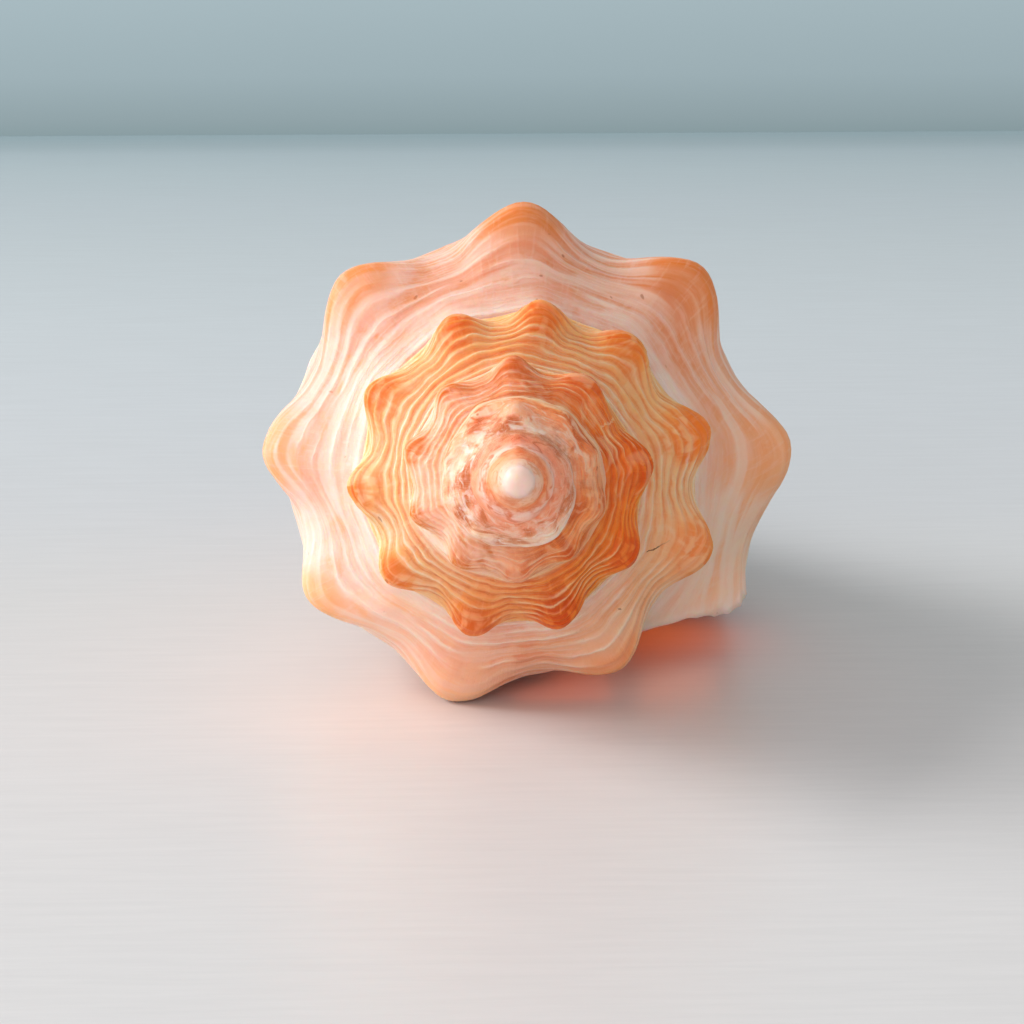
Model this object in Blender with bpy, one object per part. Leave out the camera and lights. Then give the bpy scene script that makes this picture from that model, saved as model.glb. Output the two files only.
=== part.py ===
"""A horse conch shell, lying on its opening: one grown piece, wound round a slanting axis.

Every section of the shell is the same outline at another size, so one outline and one rate of
growth give all its whorls. Lengths are in millimetres here and become metres in the mesh.
A turn of 0 is the lip, and -1 is one whorl back towards the apex.
"""

import math

import bmesh
import bpy
from mathutils import Matrix, Vector

MM = 0.001

# Growth
LIP_RADIUS = 32.0  # over a knob, if one stood on the lip
GROWTH = 1.504  # each whorl is this much larger than the one before
WHORLS = 7
LENGTH = 120.0  # apex to the end of the canal, along the axis
LIP_AZIMUTH = 28.0  # degrees past +X, clockwise as seen from the apex

# Outline of one whorl, as (depth below the apex, radius) over the size of that whorl
SUTURE = (1.40, 0.592)
OUTLINE = (
    SUTURE,
    (1.475, 0.660),
    (1.55, 0.732),
    (1.63, 0.800),
    (1.72, 0.856),
    (1.83, 0.878),
    (1.97, 0.888),
    (SUTURE[0] * GROWTH, SUTURE[1] * GROWTH),
    (2.30, 0.862),
    (2.50, 0.800),
    (2.70, 0.715),
    (2.90, 0.575),
    (3.10, 0.445),
    (3.30, 0.340),
    (3.50, 0.255),
    (3.75, 0.160),
)
SHOULDER = 1.72
RAMP_ROWS = (1.46, 1.52, 1.58, 1.64, 1.72, 1.80, 1.90, 2.00)
BASE_ROWS = 10

# Knobs on the shoulder: degrees back from each to the one before it, and how large each is.
# The first is only begun: its middle would stand 11 degrees past the lip.
KNOB_STEPS = (
    (-11, 0.90),
    (44, 0.95),
    (41, 1.08),
    (40, 1.00),
    (43, 1.00),
    (44, 0.95),
    (37, 0.82),
    (44, 1.00),
    (46, 0.92),
    (40, 1.00),
    (35, 1.00),
    (35, 0.78),
    (31, 0.85),
    (29, 0.85),
    (37, 0.90),
    (35, 0.85),
    (34, 0.90),
    (37, 1.00),
    (35, 1.00),
    (39, 0.90),
    (41, 0.90),
    (47, 0.80),
)
KNOB_HEIGHT = 0.142
KNOB_FOOT = 0.22  # share of the knob's height left at the suture below it
WORN_TURN = -3.0  # whorls older than this have a smooth, full shoulder
WORN_FULL = 0.68  # and stand out this much, as a share of a knob
LATE_SLACK = 0.025  # the last stretch of shoulder before the lip is this much narrower

# The growing edge at the lip: how many degrees it is ahead at each depth of the outline
LIP_LEAD = (
    (1.40, 23),
    (1.55, 14),
    (1.63, 7),
    (1.72, 2.5),
    (1.83, -0.5),
    (1.97, -3.5),
    (2.10, -4),
    (2.30, -1),
    (2.50, 2),
    (3.00, 0.5),
    (3.75, -10),
)

# The axis isn't quite straight: it sways to one side about this depth
SWAY = (0.40, 0.60)
SWAY_DEPTH = 33.0
SWAY_REACH = 13.0

# Wall, canal and hollow
WALL = 0.065
LIP_WALL = 1.2
CALLUS = 0.35
CORE_SLOPE = 0.06  # radius of the central pillar over its depth, down to its thickest place
CORE_DEPTH = 70.0
CORE_TIP = 1.3
CANAL_WIDTH = 3.9
CANAL_TIP_WIDTH = 3.1
CANAL_TURN = 0.17  # how far round the canal's groove reaches
HOLLOW_TOP = 1.52
HOLLOW_FLOOR = 3.10
HOLLOW_TURNS = 2.0

# Steps
TURN_STEPS = 80
HOLLOW_STEPS = 26
KEPT_FACES = 0.62

# Rest: the axis slopes down from the apex until a knob, the lip and the canal touch
TILT = math.radians(14.1)
WORN_FLAT = 0.30


def eased(value):
    """0 to 1 with no corner at either end."""
    value = min(max(value, 0.0), 1.0)
    return value * value * (3 - 2 * value)


def curve(points, x):
    """Height at x of the smooth curve through these points."""
    if x <= points[0][0]:
        return points[0][1]
    if x >= points[-1][0]:
        return points[-1][1]
    last = len(points) - 1
    i = next(i for i in range(last) if x <= points[i + 1][0])
    x0, y0 = points[i]
    x1, y1 = points[i + 1]
    xa, ya = points[max(i - 1, 0)]
    xb, yb = points[min(i + 2, last)]
    start = (y1 - ya) / (x1 - xa)
    end = (yb - y0) / (xb - x0)
    step = x1 - x0
    t = (x - x0) / step
    return (
        y0 * (2 * t**3 - 3 * t**2 + 1)
        + start * step * (t**3 - 2 * t**2 + t)
        + y1 * (3 * t**2 - 2 * t**3)
        + end * step * (t**3 - t**2)
    )


def growth(turn):
    return LIP_RADIUS * GROWTH**turn


def knob_turns():
    """Where the knobs stand and how large each is, from past the lip towards the apex."""
    found = []
    turn = 0.0
    for step, size in KNOB_STEPS:
        turn -= step / 360
        found.append((turn, size))
    while found[-1][0] > -WHORLS - 1.5:
        turn, size = found[-1]
        found.append((turn - 0.1, size))
    return found


KNOBS = knob_turns()


def knob(turn):
    """How far the shoulder stands out here: about 1 on a knob, 0 between two of them."""
    full = WORN_FULL * eased((WORN_TURN + 0.35 - turn) / 0.7)
    older = max(next(i for i, (place, _) in enumerate(KNOBS) if place <= turn), 1)
    place, size = KNOBS[older]
    next_place, next_size = KNOBS[older - 1]
    apart = (turn - place) / (next_place - place)
    size += (next_size - size) * eased(apart)
    height = size * (0.5 + 0.5 * math.cos(2 * math.pi * apart)) ** 1.2
    return full + (1 - full / 0.8) * height


def knob_spread(rel):
    """Share of a knob's height left at this depth of the whorl's outline."""
    if rel < SHOULDER:
        return math.exp(-(((rel - SHOULDER) / 0.15) ** 2)) * eased((rel - SUTURE[0]) / 0.08)
    foot = KNOB_FOOT * (1 - eased((rel - 2.15) / 0.5))
    return foot + (1 - KNOB_FOOT) * math.exp(-(((rel - SHOULDER) / 0.16) ** 2))


def stem_radius(turn, depth):
    """The pillar in the middle, which opens into the canal's tube over the last whorl."""
    down = max(depth - CORE_DEPTH, 0) / (LENGTH - CORE_DEPTH)
    core = CORE_SLOPE * min(depth, CORE_DEPTH)
    core += (CORE_TIP - core) * down
    width = CANAL_WIDTH + (CANAL_TIP_WIDTH - CANAL_WIDTH) * down
    return core + width * eased((turn + 1) / 0.45)


def outer_radius(turn, depth, knobs=1.0):
    size = growth(turn)
    rel = depth / size
    shape = curve(OUTLINE, rel) + knobs * KNOB_HEIGHT * knob(turn) * knob_spread(rel)
    before = KNOB_HEIGHT * KNOB_FOOT * knob(turn - 1) / GROWTH
    shape += knobs * before * (1 - eased((rel - SUTURE[0]) / 0.25))
    shape *= 1 - LATE_SLACK * eased((turn + 0.25) / 0.2) * eased((2.42 - rel) / 0.25)
    whorl = size * shape
    stem = stem_radius(turn, depth)
    radius = (whorl**4 + stem**4) ** 0.25
    return radius - 0.9 * eased((depth - LENGTH + 3) / 3) ** 2


def point(turn, radius, depth):
    """From turn, radius and depth to the shell's own frame, with its axis along +Z from the apex."""
    angle = math.radians(LIP_AZIMUTH + 360 * turn)
    sway = math.exp(-(((depth - SWAY_DEPTH) / SWAY_REACH) ** 2))
    x = radius * math.cos(angle) + SWAY[0] * sway
    y = radius * math.sin(angle) + SWAY[1] * sway
    return Vector((x, y, depth)) * MM


def margin_shift(turn, rel):
    """Turns by which the shell's growing edge is ahead here: it isn't a straight cut."""
    near_lip = eased((turn + 0.25) / 0.25)
    lip = curve(LIP_LEAD, rel)
    near_wall = eased(1 - abs(turn + 1) / 0.25)
    wall = 21 * eased((rel - 1.72) / 0.38)
    return (near_lip * lip + near_wall * wall) / 360


def outside_rows(turn):
    """Depths of the rows of points on the outside at this turn, from its suture down."""
    size = growth(turn)
    rows = [SUTURE[0] * size] + [rel * size for rel in RAMP_ROWS] + [SUTURE[0] * GROWTH * size]
    if turn >= -1:
        top = rows[-1]
        rows += [top + (LENGTH - top) * (i + 1) / BASE_ROWS for i in range(BASE_ROWS)]
    return rows


def outside_point(turn, row):
    rel_at_lip = outside_rows(turn)[row] / growth(turn)
    if row > len(RAMP_ROWS) + 1:
        rel_at_lip = 2.1 + 1.65 * (row - len(RAMP_ROWS) - 1) / BASE_ROWS
    turn += margin_shift(turn, rel_at_lip)
    depth = outside_rows(max(turn, -1.0) if row > len(RAMP_ROWS) + 1 else turn)[row]
    return point(turn, outer_radius(turn, depth), depth)


def build_outside(bm):
    """Columns of points from the apex to the lip. The foot of each whorl is the next one's suture."""
    columns = []
    total = WHORLS * TURN_STEPS
    for i in range(total + 1):
        turn = (i - total) / TURN_STEPS
        rows = len(RAMP_ROWS) + 2
        if i >= total - TURN_STEPS:
            rows += BASE_ROWS
        column = []
        for row in range(rows):
            if row == 0 and i >= TURN_STEPS:
                column.append(columns[i - TURN_STEPS][len(RAMP_ROWS) + 1])
            else:
                column.append(bm.verts.new(outside_point(turn, row)))
        columns.append(column)
    for left, right in zip(columns, columns[1:]):
        for row in range(min(len(left), len(right)) - 1):
            bm.faces.new((left[row], left[row + 1], right[row + 1], right[row]))
    return columns


def build_apex(bm, columns):
    """A small rounded dome over the first whorl."""
    edge = list(reversed(columns[0]))[:-1] + [column[0] for column in columns[:TURN_STEPS]]
    crown = min(vert.co.z for vert in edge) - 0.9 * MM
    rings = 3
    ring = edge
    for k in range(1, rings):
        angle = math.pi / 2 * k / rings
        inner = []
        for vert in edge:
            z = crown + (vert.co.z - crown) * (1 - math.sin(angle))
            spot = Vector((vert.co.x * math.cos(angle), vert.co.y * math.cos(angle), z))
            inner.append(bm.verts.new(spot))
        join_rings(bm, ring, inner)
        ring = inner
    top = bm.verts.new((0, 0, crown))
    for i, vert in enumerate(ring):
        bm.faces.new((vert, ring[i - 1], top))


def join_rings(bm, first, second):
    for i in range(len(first)):
        bm.faces.new((first[i], first[i - 1], second[i - 1], second[i]))


def wall_thickness(turn):
    full = WALL * growth(turn)
    return LIP_WALL + (full - LIP_WALL) * eased(-turn / 0.12)


def hollow_floor(turn):
    """Depth of the hollow's lowest point: the canal's end near the lip, and its own floor further in."""
    own = HOLLOW_FLOOR * growth(turn)
    return LENGTH + (own - LENGTH) * eased((-turn - CANAL_TURN) / 0.17)


def inside_point(turn, row):
    """A point on the hollow's outer side: the outside, moved in by the wall."""
    rows = outside_rows(0)
    share = (rows[row] - rows[0]) / (rows[-1] - rows[0])
    turn += margin_shift(turn, rows[row] / LIP_RADIUS)
    top = HOLLOW_TOP * growth(turn)
    depth = top + (hollow_floor(turn) - top) * share
    radius = outer_radius(turn, depth, 0.5)
    slope = (outer_radius(turn, depth + 0.05, 0.5) - radius) / 0.05
    slope *= 1 - eased((share - 0.93) / 0.07)
    reach = wall_thickness(turn) / math.hypot(1, slope)
    return point(turn, radius - reach, depth + reach * slope)


def pillar_point(turn, row):
    """A point on the hollow's inner side: the whorl before, under a thin glaze."""
    share = row / BASE_ROWS
    turn += margin_shift(turn - 1, 2.2)
    top = (HOLLOW_TOP + 0.06) * growth(turn)
    depth = top + (hollow_floor(turn) - top) * share
    return point(turn, outer_radius(turn - 1, depth) + CALLUS, depth)


def build_hollow(bm):
    """Loops of points round the hollow, from the lip inwards: its outer side, then its inner side."""
    outer, inner = [], []
    last = round(HOLLOW_TURNS * HOLLOW_STEPS)
    rows = len(outside_rows(0))
    turns = [0, -0.01, -0.025] + [-i / HOLLOW_STEPS for i in range(1, last + 1)]
    for turn in turns:
        outer.append([bm.verts.new(inside_point(turn, row)) for row in range(rows)])
        inner.append([bm.verts.new(pillar_point(turn, row)) for row in range(BASE_ROWS + 1)])
    for i in range(len(turns) - 1):
        loop = outer[i] + inner[i][::-1]
        following = outer[i + 1] + inner[i + 1][::-1]
        for k in range(len(loop)):
            at_floor = k == rows
            if at_floor and turns[i + 1] >= -CANAL_TURN:
                continue
            bm.faces.new((loop[k], loop[k - 1], following[k - 1], following[k]))
    bm.faces.new(outer[-1] + inner[-1][::-1])
    open_loops = sum(turn >= -CANAL_TURN for turn in turns)
    return outer, inner, open_loops


def build_margin(bm, columns, outer, inner, open_loops):
    """The rounded lip, the edge of the glaze beside it and the rim round the canal's end."""
    lip = columns[-1]
    edge = []
    for row, (out_vert, in_vert) in enumerate(zip(lip, outer[0])):
        middle = (out_vert.co + in_vert.co) / 2
        around = Vector((-middle.y, middle.x, 0)).normalized()
        edge.append(bm.verts.new(middle + around * 0.5 * MM))
    for row in range(len(lip) - 1):
        bm.faces.new((lip[row], lip[row + 1], edge[row + 1], edge[row]))
        bm.faces.new((edge[row], edge[row + 1], outer[0][row + 1], outer[0][row]))
    wall = columns[-1 - TURN_STEPS][len(RAMP_ROWS) + 1 :]
    for row in range(len(wall) - 1):
        bm.faces.new((wall[row + 1], wall[row], inner[0][row], inner[0][row + 1]))
    bm.faces.new((lip[0], edge[0], outer[0][0], inner[0][0]))
    rim = [column[-1] for column in columns[-1 : -2 - TURN_STEPS : -1]]
    rim += [loop[-1] for loop in inner[:open_loops]]
    rim += [loop[-1] for loop in outer[:open_loops]][::-1]
    rim.append(edge[-1])
    bm.faces.new(rim)


def lay_down(bm):
    """Turns the shell onto its opening, with the places that touch just below z = 0."""
    across = Vector((1, 0, 0))
    down = Vector((0, -math.sin(TILT), -math.cos(TILT)))
    along = Vector((0, math.cos(TILT), -math.sin(TILT)))
    turned = Matrix((across, down, along)).transposed()
    bm.transform(turned.to_4x4())
    low = min(vert.co.z for vert in bm.verts) + WORN_FLAT * MM
    bmesh.ops.translate(bm, verts=bm.verts, vec=(0, 0, -low))
    middle = [0.0, 0.0]
    for axis in (0, 1):
        values = [vert.co[axis] for vert in bm.verts]
        middle[axis] = (min(values) + max(values)) / 2
    bmesh.ops.translate(bm, verts=bm.verts, vec=(-middle[0], -middle[1], 0))


def wear_flats(bm):
    """Cuts off what is below z = 0, which leaves a small flat at each place that touches."""
    geometry = bm.verts[:] + bm.edges[:] + bm.faces[:]
    bmesh.ops.bisect_plane(
        bm, geom=geometry, dist=1e-7, plane_co=(0, 0, 0), plane_no=(0, 0, 1), clear_inner=True
    )
    open_edges = [edge for edge in bm.edges if edge.is_boundary]
    bmesh.ops.holes_fill(bm, edges=open_edges, sides=0)


def thin_out(shell):
    """Drops the smallest faces, most of which are near the apex."""
    thinner = shell.modifiers.new("thinner", "DECIMATE")
    thinner.ratio = KEPT_FACES
    bpy.context.view_layer.objects.active = shell
    bpy.ops.object.modifier_apply(modifier=thinner.name)


def shell_material():
    material = bpy.data.materials.new("orange_shell")
    material.use_nodes = True
    surface = material.node_tree.nodes["Principled BSDF"]
    surface.inputs["Base Color"].default_value = (0.80, 0.36, 0.16, 1)
    surface.inputs["Roughness"].default_value = 0.45
    surface.inputs["Metallic"].default_value = 0.0
    return material


def build_shell():
    bm = bmesh.new()
    columns = build_outside(bm)
    build_apex(bm, columns)
    outer, inner, open_loops = build_hollow(bm)
    build_margin(bm, columns, outer, inner, open_loops)
    bmesh.ops.triangulate(bm, faces=bm.faces)
    bmesh.ops.recalc_face_normals(bm, faces=bm.faces)
    mesh = bpy.data.meshes.new("shell")
    bm.to_mesh(mesh)
    shell = bpy.data.objects.new("shell", mesh)
    bpy.context.scene.collection.objects.link(shell)
    thin_out(shell)
    bm.clear()
    bm.from_mesh(mesh)
    lay_down(bm)
    wear_flats(bm)
    bmesh.ops.triangulate(bm, faces=bm.faces)
    bm.to_mesh(mesh)
    bm.free()
    mesh.materials.append(shell_material())
    mesh.shade_smooth()
    return shell


def main():
    for obj in list(bpy.data.objects):
        bpy.data.objects.remove(obj, do_unlink=True)
    build_shell()


main()
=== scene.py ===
"""The looks of a horse conch shell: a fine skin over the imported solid, its colours and its stage.

The skin is wrapped from flat grids, one outline grown and turned, as the animal lays it down.
Lengths are in millimetres until the skin is laid on the floor. A turn of 0 is the lip, and -1 is
one whorl back towards the apex.
"""

import math
from functools import partial

import bpy
import numpy as np
from mathutils import Matrix, Vector


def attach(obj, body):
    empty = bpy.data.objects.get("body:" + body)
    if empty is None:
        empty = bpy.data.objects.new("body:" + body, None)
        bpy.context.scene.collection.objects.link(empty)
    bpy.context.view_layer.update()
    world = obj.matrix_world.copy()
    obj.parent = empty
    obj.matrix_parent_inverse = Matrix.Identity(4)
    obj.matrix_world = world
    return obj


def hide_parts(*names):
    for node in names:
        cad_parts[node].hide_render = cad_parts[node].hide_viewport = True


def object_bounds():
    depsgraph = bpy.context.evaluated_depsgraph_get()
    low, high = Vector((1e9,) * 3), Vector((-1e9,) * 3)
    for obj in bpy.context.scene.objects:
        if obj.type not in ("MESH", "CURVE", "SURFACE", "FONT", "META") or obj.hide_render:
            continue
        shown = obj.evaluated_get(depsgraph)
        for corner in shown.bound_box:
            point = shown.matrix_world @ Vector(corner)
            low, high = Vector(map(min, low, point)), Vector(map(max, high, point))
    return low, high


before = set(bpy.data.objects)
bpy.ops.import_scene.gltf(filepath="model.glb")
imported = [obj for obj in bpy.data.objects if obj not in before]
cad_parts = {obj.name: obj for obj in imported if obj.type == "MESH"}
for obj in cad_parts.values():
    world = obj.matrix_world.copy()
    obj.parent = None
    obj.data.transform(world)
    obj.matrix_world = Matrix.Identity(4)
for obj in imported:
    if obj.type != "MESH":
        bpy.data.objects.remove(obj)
CAD_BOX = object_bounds()
bpy.ops.object.select_all(action="DESELECT")
MM = 0.001

# Growth, as the solid has it
LIP_RADIUS = 32.0
GROWTH = 1.504
WHORLS = 7
LENGTH = 120.0
LIP_AZIMUTH = 28.0
TILT = math.radians(14.1)
WORN_FLAT = 0.30

# Outline of one whorl, as (depth below the apex, radius) over the size of that whorl
SUTURE = (1.40, 0.592)
FOOT = (SUTURE[0] * GROWTH, SUTURE[1] * GROWTH)
OUTLINE = (
    SUTURE, (1.475, 0.660), (1.55, 0.732), (1.63, 0.800), (1.72, 0.856), (1.83, 0.878),
    (1.97, 0.888), FOOT, (2.30, 0.862), (2.50, 0.800), (2.70, 0.715), (2.90, 0.575), (3.10, 0.445),
    (3.30, 0.340), (3.50, 0.255), (3.75, 0.160),
)
WORN_OUTLINE = (
    SUTURE, (1.44, 0.645), (1.51, 0.718), (1.62, 0.812), (1.74, 0.897), (1.87, 0.960),
    (1.99, 0.972), FOOT,
)
CONE_SWELL = 0.035
SHOULDER = 1.72
# The turns at which the worn whorls and the rubbed cone begin, and how far the change is spread
WORN_TURN = -3.0
WORN_SPAN = 0.7
CONE_TURN = -4.15
CONE_SPAN = 0.6

# How far the growing edge leads at the lip, as (depth over size, degrees), and at the wall below
LIP_LEAD = (
    (1.40, 28), (1.47, 21.5), (1.55, 10.3), (1.63, 4.8), (1.72, -0.4), (1.83, -1.5), (1.97, -3.5),
    (2.10, -4), (2.30, -1), (2.50, 2), (3.00, 0.5), (3.75, -10),
)
WALL_LEAD = 21
LEAD_SPAN = 0.25
SCALLOP = 0.35

# Knobs: degrees from one to the next, back from the lip, and how large each is
KNOB_STEPS = (-11, 44, 41, 40, 43, 44, 37, 44, 46, 40, 35, 35, 31, 29, 37, 35, 34, 37, 35, 39, 41, 47)
KNOB_SIZES = (
    0.9, 0.95, 1.08, 1, 1, 0.95, 0.82, 1, 0.92, 1, 1,
    0.78, 0.85, 0.85, 0.9, 0.85, 0.9, 1, 1, 0.9, 0.9, 0.8,
)
KNOB_HEIGHT = 0.142
KNOB_POWER = 1.2
KNOB_ABOVE = 0.15
KNOB_BELOW = 0.16
KNOB_FOOT = 0.22
KNOB_FOOT_END = 2.15
WORN_KNOBS = 0.34
CONE_KNOBS = 0.7
LATE_SLACK = 0.025
SWAY = (0.40, 0.60)
SWAY_DEPTH = 33.0
SWAY_REACH = 13.0

# The smooth first whorl
CROWN = 1.68
BULB_RADIUS = 1.50
BULB_ANGLE = math.radians(90)
BULB_EDGE = 0.76
BULB_SPAN = 0.34

# Wall, canal and hollow
WALL = 0.065
LIP_WALL = 1.2
LIP_SPAN = 0.12
LIP_ROUND = 0.5
LINING_RIDGE = 0.13
CALLUS = 0.35
PILLAR_FOLDS = (0.44, 0.50, 0.56)
PILLAR_FOLD_WIDTH = 0.016
PILLAR_FOLD_HEIGHT = 0.30
CORE_SLOPE = 0.06
CORE_DEPTH = 70.0
CORE_TIP = 1.3
CANAL_WIDTH = 3.9
CANAL_TIP_WIDTH = 3.1
CANAL_TIP_ROUND = 0.9
CANAL_OPENING = 0.45
CANAL_TURN = 0.17
HOLLOW_TOP = 1.52
HOLLOW_FLOOR = 3.10
HOLLOW_RISE = 0.17
HOLLOW_TURNS = 2.0
HOLLOW_CROWDING = 1.4

# Spiral cords: how many there are from one suture to the next, and from there to the canal's end
WHORL_CORDS = 16
BASE_CORDS = 27

# Relief along the shell, as (turn, height in millimetres): cords, lumps 3 mm and 1 mm across, and
# folds. CORD_WANDER is in cords, and REST_SWELL is the height where growth stopped and went on
CORD_HEIGHTS = (
    (-7, 0.0), (-3.4, 0.02), (-3.0, 0.12), (-2.2, 0.20), (-1.9, 0.30),
    (-1.2, 0.34), (-0.9, 0.24), (-0.7, 0.10), (0, 0.08),
)
CORD_WANDER = ((-3.0, 1.35), (-1.1, 1.35), (-0.9, 0.8), (0.0, 0.7))
LUMPS = (
    (-7, 0.0), (-6.2, 0.08), (-5, 0.28), (-3.8, 0.42), (-3.0, 0.32), (-2.0, 0.20), (-1.0, 0.14), (0, 0.12),
)
FINE_LUMPS = ((-7, 0.0), (-6.2, 0.06), (-4.5, 0.16), (-3.2, 0.14), (-2.6, 0.08), (-1.0, 0.05), (0, 0.04))
FOLDS = ((-7, 0.0), (-6.4, 0.04), (-5, 0.12), (-3.3, 0.20), (-2.8, 0.17), (-2.2, 0.12), (-1.9, 0.0))
LUMP_SIZE = 3.1
FINE_LUMP_SIZE = 1.2
REST_SWELL = 0.04
# Numbers without a common measure, which scatter the swells evenly
SCATTER = np.array((127.1, 311.7, 74.7))

# Fineness of the skin
TURN_COLUMNS = 224
WHORL_ROWS = 112
BASE_ROWS = 80
NUB_ROWS = 12
HOLLOW_COLUMNS = 110
LIP_ROWS = 5
STRIP_ROWS = 3
MOST_TRIANGLES = 190000

# Camera: it looks nearly down the axis, from a little above the apex
LENS = 108.7
SENSOR = 24.0
APEX_DISTANCE = 433.0
# How far the line of sight leans from the axis, to the right and over it
SIGHT_LEAN = (0.0285, -0.0169)
# Where the apex stands, right of the middle and above it, over the width of the view
APEX_IN_VIEW = (0.00684, 0.0293)

# Light: a window, by its bearing behind the left side and its height in degrees, and the room
WINDOW_DISTANCE = 2.0
WINDOW_BEARING = 16
WINDOW_HEIGHT = 30
WINDOW_SIZE = 1.2
WINDOW_POWER = 46
ROOM_LIGHT = 0.55
FILL_PLACE = (-0.7, -1.9, 0.55)
FILL_POWER = 11
# Light that comes through the thin wall beside the lip: its turn, radius and depth in the shell
GLOW_SPOT = (-0.005, 20.5, 61.0)
GLOW_AIM = (-0.001, -0.004)
GLOW_SIZE = 0.008
GLOW_POWER = 0.00055
GLOW_COLOUR = (1.0, 0.16, 0.0)
# Warm light under the last whorl: place and aim in millimetres, size, power and colour
GLOWS = (
    ("under_the_whorl", (3.0, -20.5, 1.5), (3.0, -20.5, 0.0), 0.010, 0.00009, (1.0, 0.12, 0.0)),
    ("beside_the_knob", (-20.0, -31.0, 12.0), (-20.0, -31.0, 0.0), 0.014, 0.00035, (1.0, 0.42, 0.2)),
)

# Table and wall, in metres, and their colours with painted shade, as (depth, colour) and (share of height,
# colour). The table greys and turns bluish towards its far end as painted shade, darkest along that end as
# a painted shadow, and the wall darkens at its foot as painted shade
TABLE_WIDTH = 3.2
TABLE_FRONT = -1.2
TABLE_END = 0.283
PAINTED_SHADE_START = -0.15
WALL_PLACE = 0.79
WALL_WIDTH = 1.4
WALL_MIDDLE = 0.5
WALL_HEIGHT = 1.6
TABLE_COLOUR_AND_PAINTED_SHADE = (
    (-0.15, "DAD6D5"), (-0.04, "D8D4D3"), (0.01, "D0CECD"), (0.05, "CBCBCD"), (0.10, "C8CACD"),
    (0.145, "C3C7CA"), (0.19, "BAC0C3"), (0.2275, "B0B8BC"), (0.2515, "A7B2B6"), (0.2665, "9DAAAF"),
    (0.2735, "8E9DA2"), (TABLE_END, "80949A"),
)
WALL_COLOUR_AND_PAINTED_SHADE = ((0.0, "92AAAF"), (0.2, "A2B7BD"), (0.5, "B0C5CC"), (1.0, "B8CDD4"))

# Colours of the shell, as (turn, colour): pink at the apex, orange in the middle, peach at the lip. Round
# each whorl the stops of these four tables also hold painted light: paler on the lower left and left, as
# seen from the camera, where the window light falls, and deeper orange at the bottom and lower right, as
# painted shade
GROUND = (
    (-7.00, "EDC6B8"), (-6.40, "FABEA0"), (-6.00, "FFBE9A"), (-5.40, "FF975E"), (-4.90, "FFD0BF"),
    (-4.50, "FF956D"), (-4.10, "EE956C"), (-3.85, "F5C6A3"), (-3.40, "FB8950"), (-2.96, "ED6E27"),
    (-2.83, "D76638"), (-2.69, "FBBA98"), (-2.40, "EC9564"), (-2.18, "F26B15"), (-2.04, "F97606"),
    (-1.88, "E36203"), (-1.70, "FFA555"), (-1.57, "F6A868"), (-1.33, "FF974D"), (-1.15, "FFA255"),
    (-0.99, "FFAF7C"), (-0.84, "E88A61"), (-0.70, "FDC5AC"), (-0.50, "ECA78F"), (-0.22, "E9946B"),
    (0.00, "FFC7A0"),
)
PALER = (
    (-7.00, "F8DDD2"), (-6.40, "FFDAC1"), (-5.40, "FFB583"), (-4.50, "FFB18F"), (-3.90, "FAEBDB"),
    (-3.20, "FFB370"), (-2.90, "EC8237"), (-2.69, "FFD0B4"), (-2.20, "F5822F"), (-1.88, "F08732"),
    (-1.64, "FFC89F"), (-1.33, "FFA76A"), (-1.10, "FFC291"), (-0.97, "FFC8A1"), (-0.84, "F6B493"),
    (-0.66, "FFDFD3"), (-0.45, "F3C6B5"), (0.00, "FFDDC7"),
)
DEEPER = (
    (-7.00, "EBC0B0"), (-6.40, "EC9F72"), (-5.40, "ED7941"), (-4.50, "D96737"), (-4.00, "CE733E"),
    (-3.20, "D15D22"), (-2.90, "CB5412"), (-2.69, "DE823C"), (-2.45, "D77836"), (-2.15, "DB5907"),
    (-1.88, "CA4A00"), (-1.64, "E78236"), (-1.33, "EB7221"), (-1.06, "F58024"), (-0.97, "F5945A"),
    (-0.90, "F49D6D"), (-0.79, "FEBB94"), (-0.66, "FAB378"), (-0.44, "EA9153"), (-0.32, "DF8440"),
    (-0.21, "E47E2C"), (-0.09, "FBAC78"), (0.00, "FFB587"),
)
LIGHT = (
    (-7.00, "FAEAE3"), (-6.30, "FFDDCA"), (-5.35, "FFCDA8"), (-4.85, "FBEAE2"), (-4.40, "FFCEB0"),
    (-3.90, "FDF1E8"), (-3.30, "FFDAB9"), (-2.95, "FDD6AC"), (-2.83, "F3C6A6"), (-2.69, "FFE7D6"),
    (-2.40, "FAE2D2"), (-2.20, "FED2A1"), (-2.05, "FFE3B4"), (-1.88, "FAD3A6"), (-1.70, "FFE4D0"),
    (-1.50, "FAE1CE"), (-1.33, "FED7B7"), (-1.15, "FFE0C9"), (-0.92, "FFE0D0"), (0.00, "FFE7DD"),
)
# Greys that say how strong the furrows, the lines and the tan of the last knobs are at each turn. The
# furrows' grey also sets how much painted shade lies in them
FURROW_GREYS = ((-2.8, "808080"), (-2.15, "A0A0A0"), (-1.95, "D8D8D8"), (-1.05, "D0D0D0"), (-0.9, "707070"))
LINE_GREYS = (
    (-2.7, "C0C0C0"), (-2.1, "CCCCCC"), (-1.9, "CCCCCC"), (-1.05, "D0D0D0"),
    (-0.85, "D8D8D8"), (-0.45, "B8B8B8"), (-0.2, "989898"),
)
# The tan is weakest on the left knob, where the window light falls: painted light there
TAN_GREYS = (
    (-0.74, "000000"), (-0.67, "FFFFFF"), (-0.60, "7C7C7C"), (-0.50, "7C7C7C"),
    (-0.43, "C0C0C0"), (-0.33, "F0F0F0"), (-0.21, "FFFFFF"),
)


def linear(hex_colour):
    """An sRGB hex colour as linear RGBA."""
    values = [int(hex_colour[i : i + 2], 16) / 255 for i in (0, 2, 4)]
    return tuple(v / 12.92 if v <= 0.04045 else ((v + 0.055) / 1.055) ** 2.4 for v in values) + (1.0,)


def eased(value):
    """0 to 1 with no corner at either end."""
    value = np.clip(value, 0.0, 1.0)
    return value * value * (3 - 2 * value)


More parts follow.
